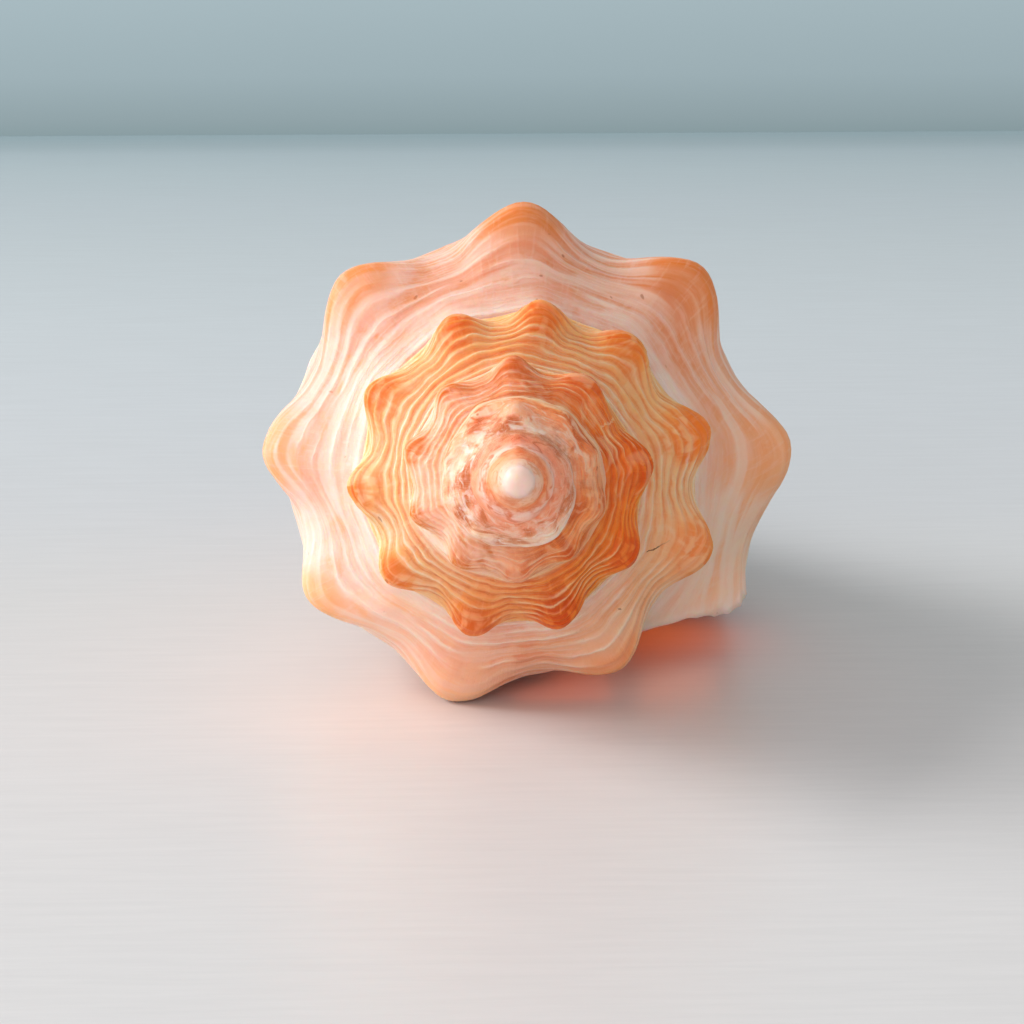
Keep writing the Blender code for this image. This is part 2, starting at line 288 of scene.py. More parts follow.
def smooth_curve(points):
    """The smooth curve through these points, as a function."""
    xs, ys = np.array(points, float).T
    slopes = np.empty(len(xs))
    slopes[1:-1] = (ys[2:] - ys[:-2]) / (xs[2:] - xs[:-2])
    slopes[0] = (ys[1] - ys[0]) / (xs[1] - xs[0])
    slopes[-1] = (ys[-1] - ys[-2]) / (xs[-1] - xs[-2])

    def height(x):
        x = np.clip(x, xs[0], xs[-1])
        i = np.clip(np.searchsorted(xs, x, side="right") - 1, 0, len(xs) - 2)
        step = xs[i + 1] - xs[i]
        t = (x - xs[i]) / step
        return (
            ys[i] * (2 * t**3 - 3 * t**2 + 1)
            + slopes[i] * step * (t**3 - 2 * t**2 + t)
            + ys[i + 1] * (3 * t**2 - 2 * t**3)
            + slopes[i + 1] * step * (t**3 - t**2)
        )

    return height


outline = smooth_curve(OUTLINE)
worn_outline = smooth_curve(WORN_OUTLINE)
lip_lead = smooth_curve(LIP_LEAD)


def growth(turn):
    """The size of the whorl at this turn."""
    return LIP_RADIUS * GROWTH**turn


def knob_turns():
    """Where the knobs stand and how large each is, from the apex towards the lip."""
    found = [(-sum(KNOB_STEPS[: i + 1]) / 360, size) for i, size in enumerate(KNOB_SIZES)]
    while found[-1][0] > -WHORLS - 1.5:
        found.append((found[-1][0] - 0.1, KNOB_SIZES[-1]))
    return np.array(found[::-1]).T


KNOBS, SIZES = knob_turns()


def worn_at(turn):
    """0 on the younger whorls, 1 on the oldest, which are rubbed round and smooth."""
    return eased((WORN_TURN + WORN_SPAN / 2 - turn) / WORN_SPAN)


def cone_at(turn):
    """0 on the younger whorls, 1 on the oldest four, which are rubbed down to one smooth cone."""
    return eased((CONE_TURN + CONE_SPAN / 2 - turn) / CONE_SPAN)


def cone(rel):
    """The outline of the rubbed cone."""
    share = (rel - SUTURE[0]) / (FOOT[0] - SUTURE[0])
    return SUTURE[1] + (FOOT[1] - SUTURE[1]) * share + CONE_SWELL * np.sin(math.pi * np.clip(share, 0, 1))


def knob(turn):
    """How far the shoulder stands out here: about 1 on a knob, 0 between two of them."""
    older = np.clip(np.searchsorted(KNOBS, turn, side="right") - 1, 0, len(KNOBS) - 2)
    apart = (turn - KNOBS[older]) / (KNOBS[older + 1] - KNOBS[older])
    size = SIZES[older] + (SIZES[older + 1] - SIZES[older]) * eased(apart)
    height = size * (0.5 + 0.5 * np.cos(2 * math.pi * apart)) ** KNOB_POWER
    return (1 - (1 - WORN_KNOBS) * worn_at(turn)) * (1 - CONE_KNOBS * cone_at(turn)) * height


def knob_spread(rel):
    """Share of a knob's height left at this depth of the whorl's outline."""
    above = np.exp(-(((rel - SHOULDER) / KNOB_ABOVE) ** 2)) * eased((rel - SUTURE[0]) / 0.08)
    foot = KNOB_FOOT * (1 - eased((rel - KNOB_FOOT_END) / 0.5))
    below = foot + (1 - KNOB_FOOT) * np.exp(-(((rel - SHOULDER) / KNOB_BELOW) ** 2))
    return np.where(rel < SHOULDER, above, below)


def stem_radius(turn, depth):
    """The pillar in the middle, which opens into the canal's tube over the last whorl."""
    down = np.maximum(depth - CORE_DEPTH, 0) / (LENGTH - CORE_DEPTH)
    core = CORE_SLOPE * np.minimum(depth, CORE_DEPTH)
    core = core + (CORE_TIP - core) * down
    width = CANAL_WIDTH + (CANAL_TIP_WIDTH - CANAL_WIDTH) * down
    return core + width * eased((turn + 1) / CANAL_OPENING)


def outer_radius(turn, depth, knobs=1.0):
    """Radius of the outside: the whorl's outline with its knobs, blended into the pillar."""
    size = growth(turn)
    rel = depth / size
    plain = outline(rel)
    plain = plain + (np.maximum(worn_outline(rel), plain) - plain) * worn_at(turn) * (rel < FOOT[0])
    plain = plain + (cone(rel) - plain) * cone_at(turn) * (rel < FOOT[0])
    shape = plain + knobs * KNOB_HEIGHT * knob(turn) * knob_spread(rel)
    before = KNOB_HEIGHT * KNOB_FOOT * knob(turn - 1) / GROWTH
    shape = shape + knobs * before * (1 - eased((rel - SUTURE[0]) / 0.25))
    shape = shape * (1 - LATE_SLACK * eased((turn + 0.25) / 0.2) * eased((2.42 - rel) / 0.25))
    radius = ((size * shape) ** 4 + stem_radius(turn, depth) ** 4) ** 0.25
    return radius - CANAL_TIP_ROUND * eased((depth - LENGTH + 3) / 3) ** 2


def slope_of(radius_at, turn, depth):
    """How fast the radius grows with depth here, over a tenth of a millimetre."""
    return (radius_at(turn, depth + 0.05) - radius_at(turn, depth - 0.05)) / 0.1


def around(turn, radius, depth):
    """From turn, radius and depth to the shell's own frame, with its axis along +Z from the apex.

    The axis sways a little to one side about a third of the way down.
    """
    angle = np.radians(LIP_AZIMUTH + 360 * turn)
    sway = np.exp(-(((depth - SWAY_DEPTH) / SWAY_REACH) ** 2))
    x = radius * np.cos(angle) + SWAY[0] * sway
    y = radius * np.sin(angle) + SWAY[1] * sway
    return np.stack((x, y, depth + 0 * x), axis=-1)


def swells(place, seed):
    """Smooth uneven swells about one unit across, from -1 to 1."""
    cell = np.floor(place)
    inside = eased(place - cell)
    total = 0.0
    for corner in np.ndindex((2,) * place.shape[-1]):
        marks = (cell + corner) @ SCATTER[: place.shape[-1]] + 19.19 * seed
        chance = np.modf(np.abs(np.sin(marks)) * 43758.5453)[0]
        nearness = np.prod(np.where(corner, inside, 1 - inside), axis=-1)
        total = total + nearness * (2 * chance - 1)
    return total


def along_shell(turn, table):
    """The value at this turn in a table of (turn, value)."""
    return np.interp(turn, *zip(*table))


def cord_at(turn, share):
    """Which cord is here, counted from the suture. They wander, and crowd and part again."""
    turn, share = np.broadcast_arrays(turn, share)
    slow = swells(np.stack((16 * turn, 5 * share), axis=-1), 1)
    quick = swells(np.stack((55 * turn, 9 * share), axis=-1), 2)
    wander = along_shell(turn, CORD_WANDER) * (0.75 * slow + 0.28 * quick)
    return WHORL_CORDS * share + wander * np.sin(math.pi * share)


def cord_crest(cord):
    """1 on the crest of a cord, 0 in the furrow on either side."""
    return (0.5 - 0.5 * np.cos(2 * math.pi * cord)) ** 2


def margin_shift(turn, rel, cord):
    """Turns by which the growing edge is ahead here. At the lip each cord ends in a small scallop."""
    near_lip = eased((turn + LEAD_SPAN) / LEAD_SPAN)
    near_wall = eased(1 - np.abs(turn + 1) / LEAD_SPAN)
    scallop = SCALLOP * (cord_crest(cord) - 0.5) * eased(1 + turn / 0.02)
    wall_lead = near_wall * WALL_LEAD * eased((rel - SHOULDER) / 0.38)
    return (near_lip * lip_lead(rel) + wall_lead + scallop) / 360


def cord_relief(turn, cord):
    """Height of the cords: worn off near the apex, strongest in the middle, and never quite even."""
    height = along_shell(turn, CORD_HEIGHTS)
    which = np.floor(cord)
    along = np.stack(np.broadcast_arrays(11 * turn, 5.3 * which), axis=-1)
    uneven = 0.75 + 0.45 * swells(along, 3)
    every_other = 0.85 + 0.15 * np.cos(math.pi * which)
    coarser = 1 + 0.6 * eased((cord - WHORL_CORDS) / 5)
    return height * uneven * every_other * coarser * cord_crest(cord)


def worn_relief(turn, cord, place):
    """Lumps and hollows, deepest on the oldest whorls, where the cords have crumbled away."""
    angle = 2 * math.pi * turn
    age = turn + cord / WHORL_CORDS
    folded = np.stack((2.2 * np.cos(angle), 2.2 * np.sin(angle), 3.6 * age), axis=-1)
    lumps = along_shell(turn, LUMPS) * swells(place / LUMP_SIZE, 4)
    fine_lumps = along_shell(turn, FINE_LUMPS) * swells(place / FINE_LUMP_SIZE, 5)
    return lumps + fine_lumps + along_shell(turn, FOLDS) * swells(folded, 6)


def rest_relief(turn, rel):
    """Slow swells along the growing edge, where the animal stopped and went on."""
    slow = np.sin(2 * math.pi * (23 * turn + 0.8 * rel))
    quick = np.sin(2 * math.pi * (37.3 * turn - 1.1 * rel))
    return REST_SWELL * (slow + 0.7 * quick) * growth(turn) / LIP_RADIUS


def skin_point(turn, depth, cord, swell):
    """A point on the outside, raised along the surface's normal by its cords and swells."""
    radius = outer_radius(turn, depth)
    slope = slope_of(outer_radius, turn, depth)
    raised = rest_relief(turn, depth / growth(turn)) + worn_relief(turn, cord, around(turn, radius, depth))
    raised = cord_relief(turn, cord) + swell * raised
    raised = raised * (1 - eased((depth - LENGTH + 4) / 4))
    steep = np.sqrt(1 + slope**2)
    return around(turn, radius + raised / steep, depth - raised * slope / steep)


def whorl_rel(share):
    """Depth over size, from the suture above (share 0) to the one below (share 1)."""
    return SUTURE[0] + (FOOT[0] - SUTURE[0]) * share


def base_rel(share):
    """Depth over the lip's size, from the last suture (share 0) to the canal's end (share 1)."""
    return FOOT[0] + (LENGTH / LIP_RADIUS - FOOT[0]) * share


def base_cord(share):
    """The cord at this share of the way from the last suture to the canal's end."""
    return WHORL_CORDS + BASE_CORDS * share


def bulb_point(turn, reach):
    """The smooth round first whorl. reach is 0 at its top and 1 at its edge."""
    angle = BULB_ANGLE * np.minimum(reach, 1.25)
    return around(turn, BULB_RADIUS * np.sin(angle), CROWN + BULB_RADIUS * (1 - np.cos(angle)))


def bulb_reach(turn, share):
    """How far a place is from the top of the first whorl, over that whorl's edge."""
    return GROWTH ** (turn + share + WHORLS - 1)


def whorl_point(turn, share):
    """The whorls, from one suture (share 0) to the next (share 1), which is the same line."""
    shared = (share < 1e-6) & (turn > -WHORLS + 1 - 1e-6)
    turn = np.where(shared, turn - 1, turn)
    share = np.where(shared, 1.0, share)
    rel = whorl_rel(share)
    cord = cord_at(turn, share)
    shifted = turn + margin_shift(turn, rel, cord)
    swell = eased(7 * share) * eased(7 * (1 - share))
    point = skin_point(shifted, rel * growth(shifted), cord, swell)
    reach = bulb_reach(turn, share)
    bulb = 1 - eased((reach - BULB_EDGE) / BULB_SPAN)[..., None]
    return bulb * bulb_point(turn, reach) + (1 - bulb) * point


def base_point(turn, share):
    """The last whorl below its suture line (share 0), down to the canal's end (share 1)."""
    cord = base_cord(share)
    shifted = turn + margin_shift(turn, base_rel(share), cord)
    top = FOOT[0] * growth(np.maximum(shifted, -1))
    point = skin_point(shifted, top + (LENGTH - top) * share, cord, eased(7 * share))
    return np.where((share < 1e-6)[..., None], whorl_point(turn, np.ones_like(share)), point)


def knob_at(turn, rel):
    """How far an unworn knob stands out here, for the colours."""
    return knob(turn) * knob_spread(rel) * (1 - worn_at(turn))


def whorl_sheet(column, row):
    """The whorls. Each sheet gives its points, and their turn, cord, knob and place in the mouth."""
    turn, share = column / TURN_COLUMNS - WHORLS, row / WHORL_ROWS
    return whorl_point(turn, share), turn, cord_at(turn, share), knob_at(turn, whorl_rel(share)), 0


def base_sheet(column, row):
    """The last whorl below its suture, down to the canal's end."""
    turn, share = column / TURN_COLUMNS - 1, row / BASE_ROWS
    return base_point(turn, share), turn, base_cord(share), knob_at(turn, base_rel(share)), 0


def nub_sheet(column, row):
    """Rings drawn in from the edge that the whorls leave open at the apex: a step, then a spiral.

    The rings turn a little as they shrink, so that the step spreads round them.
    """
    along = column - WHORL_ROWS
    turn = -WHORLS + np.maximum(along, 0) / TURN_COLUMNS
    share = np.maximum(-along, 0) / WHORL_ROWS
    edge = whorl_point(turn, share)
    inward = row / NUB_ROWS
    ring_turn = -WHORLS + along / (WHORL_ROWS + TURN_COLUMNS)
    reach = bulb_reach(turn, share) * (1 - inward)
    point = bulb_point(turn + (ring_turn - turn) * inward, reach)
    return np.where((row == 0)[..., None], edge, point), -WHORLS, 8, 0, 0


def lip_rel(row):
    """Depth of this row down the lip, over the lip's size."""
    whorl, base = whorl_rel(row / WHORL_ROWS), base_rel((row - WHORL_ROWS) / BASE_ROWS)
    return np.where(row <= WHORL_ROWS, whorl, base)


def lip_cord(row):
    """The cord at this row down the lip."""
    whorl = cord_at(0, np.minimum(row / WHORL_ROWS, 1))
    return np.where(row <= WHORL_ROWS, whorl, base_cord((row - WHORL_ROWS) / BASE_ROWS))


def hollow_turn(column):
    """Turns into the hollow. The columns are close together at the lip."""
    return -HOLLOW_TURNS * (column / HOLLOW_COLUMNS) ** HOLLOW_CROWDING


def wall_thickness(turn):
    """The wall is thin at the lip and reaches its full share of the whorl a little way in."""
    full = WALL * growth(turn)
    return LIP_WALL + (full - LIP_WALL) * eased(-turn / LIP_SPAN)


def hollow_floor(turn):
    """Depth of the hollow's lowest place: the canal's end near the lip, its own floor further in."""
    own = HOLLOW_FLOOR * growth(turn)
    return LENGTH + (own - LENGTH) * eased((-turn - CANAL_TURN) / HOLLOW_RISE)


def half_knobbed(turn, depth):
    """Radius of the outside with its knobs at half height, as they show inside the hollow."""
    return outer_radius(turn, depth, 0.5)


def wall_point(turn, row):
    """The hollow's outer side: the outside, moved in by the wall, with fine ridges past the lip."""
    rel = lip_rel(row)
    share = (rel - SUTURE[0]) / (LENGTH / LIP_RADIUS - SUTURE[0])
    inner_rel = HOLLOW_TOP + (LENGTH / LIP_RADIUS - HOLLOW_TOP) * share
    shifted = turn + margin_shift(turn, inner_rel, lip_cord(row))
    top = HOLLOW_TOP * growth(shifted)
    depth = top + (hollow_floor(shifted) - top) * share
    slope = slope_of(half_knobbed, shifted, depth) * (1 - eased((share - 0.93) / 0.07))
    ridged = eased((-turn - 0.01) / 0.03) * eased((turn + 0.4) / 0.3) * eased((0.9 - share) / 0.1)
    reach = wall_thickness(shifted) + LINING_RIDGE * cord_crest(lip_cord(row)) * ridged
    reach = reach / np.sqrt(1 + slope**2)
    return around(shifted, half_knobbed(shifted, depth) - reach, depth + reach * slope)


def pillar_point(turn, row):
    """The hollow's inner side: the whorl before, under a thin glaze, with three low folds."""
    share = row / BASE_ROWS
    shifted = turn + margin_shift(turn - 1, 2.2, 0)
    top = (HOLLOW_TOP + 0.06) * growth(shifted)
    depth = top + (hollow_floor(shifted) - top) * share
    fold = sum(np.exp(-(((share - place) / PILLAR_FOLD_WIDTH) ** 2)) for place in PILLAR_FOLDS)
    fold = PILLAR_FOLD_HEIGHT * fold * eased((-turn - 0.02) / 0.08)
    return around(shifted, outer_radius(shifted - 1, depth) + CALLUS + fold, depth)


def wall_sheet(column, row):
    """The hollow's outer side."""
    turn = hollow_turn(column)
    return wall_point(turn, row), turn, lip_cord(row), 0, 1


def pillar_sheet(column, row):
    """The hollow's inner side."""
    turn = hollow_turn(column)
    return pillar_point(turn, row), turn, base_cord(row / BASE_ROWS), 0, 1


def across(low, high, share):
    """Points at this share of the way from the low points to the high ones."""
    return low + (high - low) * share[..., None]


def roof_sheet(column, row):
    """The narrow strip between the hollow's two sides, under the suture."""
    turn = hollow_turn(column)
    point = across(wall_point(turn, row * 0), pillar_point(turn, row * 0), row / STRIP_ROWS)
    return point, turn, 0, 0, 1


GROOVE_COLUMNS = int(HOLLOW_COLUMNS * (CANAL_TURN / HOLLOW_TURNS) ** (1 / HOLLOW_CROWDING))


def floor_sheet(column, row):
    """The strip that closes the hollow below, from where the canal's groove ends."""
    turn = hollow_turn(column + GROOVE_COLUMNS)
    low = wall_point(turn, row * 0 + WHORL_ROWS + BASE_ROWS)
    point = across(low, pillar_point(turn, row * 0 + BASE_ROWS), row / STRIP_ROWS)
    return point, turn, WHORL_CORDS + BASE_CORDS, 0, 1


def lip_sheet(column, row):
    """The rounded edge of the lip, from its outside to the hollow. Its columns run down the lip."""
    share = row / LIP_ROWS
    down_base = np.maximum(column - WHORL_ROWS, 0) / BASE_ROWS
    outside = np.where(
        (column <= WHORL_ROWS)[..., None],
        whorl_point(column * 0.0, np.minimum(column / WHORL_ROWS, 1)),
        base_point(column * 0.0, down_base),
    )
    point = across(outside, wall_point(column * 0.0, column), share)
    ahead = np.stack((-point[..., 1], point[..., 0], 0 * share), axis=-1)
    ahead = ahead / np.linalg.norm(ahead, axis=-1, keepdims=True)
    point = point + ahead * (LIP_ROUND * np.sin(math.pi * share))[..., None]
    return point, 0, lip_cord(column), 0, share


def callus_sheet(column, row):
    """The glaze's edge, where it thins out on the whorl before. Its columns run down the pillar."""
    outside = base_point(column * 0.0 - 1, column / BASE_ROWS)
    share = row / STRIP_ROWS
    point = across(outside, pillar_point(column * 0.0, column), share)
    return point, -1 + 0.06 * share, base_cord(column / BASE_ROWS), 0, share


def wrapped_grid(name, columns, rows, place, material):
    """A flat grid of columns by rows, wrapped by place(column, row).

    Its map "growth" holds the turn and the cord of each corner, and "form" how far it stands out
    as a knob and how far it is inside the mouth.
    """
    bpy.ops.mesh.primitive_grid_add(x_subdivisions=columns, y_subdivisions=rows, size=1)
    grid = bpy.context.object
    grid.name = name
    mesh = grid.data
    at = np.arange(len(mesh.vertices))
    column, row = at % (columns + 1), at // (columns + 1)
    point, *marks = place(column, row)
    mesh.vertices.foreach_set("co", (point * MM).ravel())
    turn, cord, knobbed, mouth = (np.broadcast_to(mark, at.shape) for mark in marks)
    corners = np.empty(len(mesh.loops), np.int32)
    mesh.loops.foreach_get("vertex_index", corners)
    mesh.uv_layers[0].name = "growth"
    mesh.uv_layers.new(name="form")
    for layer, pair in (("growth", (turn, cord)), ("form", (knobbed, mouth))):
        values = np.stack(pair, axis=-1)[corners]
        mesh.uv_layers[layer].uv.foreach_set("vector", values.astype(np.float32).ravel())
    mesh.materials.append(material)
    return grid


def closed_skin(material):
    """The sheets joined into one closed skin, with the end of the hollow and the canal's rim filled."""
    last_rows = WHORL_ROWS + BASE_ROWS
    groove = HOLLOW_COLUMNS - GROOVE_COLUMNS
    sheets = [
        wrapped_grid("whorls", WHORLS * TURN_COLUMNS, WHORL_ROWS, whorl_sheet, material),
        wrapped_grid("base", TURN_COLUMNS, BASE_ROWS, base_sheet, material),
        wrapped_grid("nub", WHORL_ROWS + TURN_COLUMNS, NUB_ROWS, nub_sheet, material),
        wrapped_grid("hollow_wall", HOLLOW_COLUMNS, last_rows, wall_sheet, material),
        wrapped_grid("hollow_pillar", HOLLOW_COLUMNS, BASE_ROWS, pillar_sheet, material),
        wrapped_grid("hollow_roof", HOLLOW_COLUMNS, STRIP_ROWS, roof_sheet, material),
        wrapped_grid("hollow_floor", groove, STRIP_ROWS, floor_sheet, material),
        wrapped_grid("lip_edge", last_rows, LIP_ROWS, lip_sheet, material),
        wrapped_grid("callus_edge", BASE_ROWS, STRIP_ROWS, callus_sheet, material),
    ]
    bpy.ops.object.select_all(action="DESELECT")
    for grid in sheets:
        grid.select_set(True)
    skin = sheets[0]
    bpy.context.view_layer.objects.active = skin
    bpy.ops.object.join()
    skin.name = skin.data.name = "shell_skin"
    bpy.ops.object.mode_set(mode="EDIT")
    bpy.ops.mesh.select_all(action="SELECT")
    bpy.ops.mesh.remove_doubles(threshold=1e-6)
    bpy.ops.mesh.fill_holes(sides=0)
    bpy.ops.mesh.select_all(action="SELECT")
    bpy.ops.mesh.quads_convert_to_tris(quad_method="SHORTEST_DIAGONAL", ngon_method="BEAUTY")
    bpy.ops.mesh.normals_make_consistent(inside=False)
    bpy.ops.object.mode_set(mode="OBJECT")
    return skin


def thin_out(skin):
    """Drops the smallest faces, most of which are near the apex."""
    thinner = skin.modifiers.new("thinner", "DECIMATE")
    thinner.ratio = min(MOST_TRIANGLES / len(skin.data.polygons), 1)
    bpy.ops.object.modifier_apply(modifier=thinner.name)


def turned():
    """How the shell's own frame is turned when it lies on its opening."""
    down = (0, -math.sin(TILT), -math.cos(TILT))
    along = (0, math.cos(TILT), -math.sin(TILT))
    return Matrix(((1, 0, 0), down, along)).transposed()


def lay_down(skin):
    """Turns the shell onto its opening, over the solid, and wears flats where it touches the floor."""
    skin.data.transform(turned().to_4x4())
    corners = np.array([vert.co for vert in skin.data.vertices])
    low, high = corners.min(axis=0), corners.max(axis=0)
    place = Vector(((CAD_BOX[0][0] + CAD_BOX[1][0] - low[0] - high[0]) / 2, CAD_BOX[0][1] - low[1], 0))
    place.z = -WORN_FLAT * MM - low[2]
    skin.data.transform(Matrix.Translation(place))
    apex = place + turned() @ Vector((0, 0, CROWN)) * MM
    bpy.ops.object.mode_set(mode="EDIT")
    bpy.ops.mesh.select_all(action="SELECT")
    bpy.ops.mesh.bisect(
        plane_co=(0, 0, 0), plane_no=(0, 0, 1), use_fill=True, clear_inner=True, threshold=1e-7
    )
    bpy.ops.mesh.select_all(action="SELECT")
    bpy.ops.mesh.quads_convert_to_tris(quad_method="BEAUTY", ngon_method="BEAUTY")
    bpy.ops.object.mode_set(mode="OBJECT")
    bpy.ops.object.shade_smooth()
    return apex


def node(tree, kind, settings, inputs):
    """Adds a node with its settings. An input is a value, a socket, or a node's first output."""
    made = tree.nodes.new(kind)
    for name, value in settings.items():
        if name == "stops":
            while len(made.color_ramp.elements) < len(value):
                made.color_ramp.elements.new(1)
            for element, (place, colour) in zip(made.color_ramp.elements, value):
                element.position, element.color = place, linear(colour)
        else:
            setattr(made, name, value)
    sockets = [socket for socket in made.inputs if socket.enabled]
    for key, value in inputs.items():
        socket = sockets[key] if isinstance(key, int) else next(s for s in sockets if s.name == key)
        if isinstance(value, bpy.types.Node):
            value = next(s for s in value.outputs if s.enabled)
        if isinstance(value, bpy.types.NodeSocket):
            tree.links.new(value, socket)
        else:
            socket.default_value = value
    return made


def plug(made, socket):
    """Links a node's first output to a socket of the surface."""
    socket.id_data.links.new(next(s for s in made.outputs if s.enabled), socket)


MATH, RANGE, MIX, RAMP = "ShaderNodeMath", "ShaderNodeMapRange", "ShaderNodeMix", "ShaderNodeValToRGB"
NOISE, BUMP, MAPPING = "ShaderNodeTexNoise", "ShaderNodeBump", "ShaderNodeMapping"
JOIN, SPLIT = "ShaderNodeCombineXYZ", "ShaderNodeSeparateXYZ"
PLUS, LESS, TIMES, TIMES_PLUS, LARGER, FLOOR, SIZE, ZIGZAG = (
    {"operation": kind}
    for kind in ("ADD", "SUBTRACT", "MULTIPLY", "MULTIPLY_ADD", "MAXIMUM", "FLOOR", "ABSOLUTE", "PINGPONG")
)
SMOOTH = {"interpolation_type": "SMOOTHSTEP"}
FLAT = {"noise_dimensions": "2D"}
COLOUR = {"data_type": "RGBA"}
TINT = {"data_type": "RGBA", "blend_type": "MULTIPLY"}


def per_turn(stops):
    """Stops for a ramp along the shell, from (turn, colour) pairs."""
    return [((turn + WHORLS) / WHORLS, colour) for turn, colour in stops]


def masked(tree, reach, *masks):
    """Where something shows, from 0 to 1: its reach, times each mask.

    A reach is a value, or a tuple of a value, where it starts, where it is full, how much it is
    there (1 if not given), and how much it is before it starts (0 if not given).
    """
    if isinstance(reach, tuple):
        names = ("Value", "From Min", "From Max", "To Max", "To Min")
        reach = node(tree, RANGE, SMOOTH, dict(zip(names, reach)))
    for mask in masks:
        reach = node(tree, MATH, TIMES, {0: reach, 1: mask})
    return reach


def scar(tree, across, along, ends, width):
    """A thin jagged mark where the first two values add up to 0, between two places along it."""
    first, second, shake, amount = across
    place = node(tree, MATH, PLUS, {0: first, 1: second})
    place = node(tree, MATH, TIMES_PLUS, {0: shake, 1: amount, 2: place})
    beside = node(tree, MATH, SIZE, {0: place})
    middle, half = (ends[0] + ends[1]) / 2, (ends[1] - ends[0]) / 2
    away = node(tree, MATH, LESS, {0: along, 1: middle})
    away = node(tree, MATH, SIZE, {0: away})
    within = masked(tree, (away, half, 0.8 * half))
    return masked(tree, (beside, width, width / 2), within)


def new_material(name):
    """A new material, with its surface and node tree."""
    material = bpy.data.materials.new(name)
    material.use_nodes = True
    return material, material.node_tree, material.node_tree.nodes["Principled BSDF"]


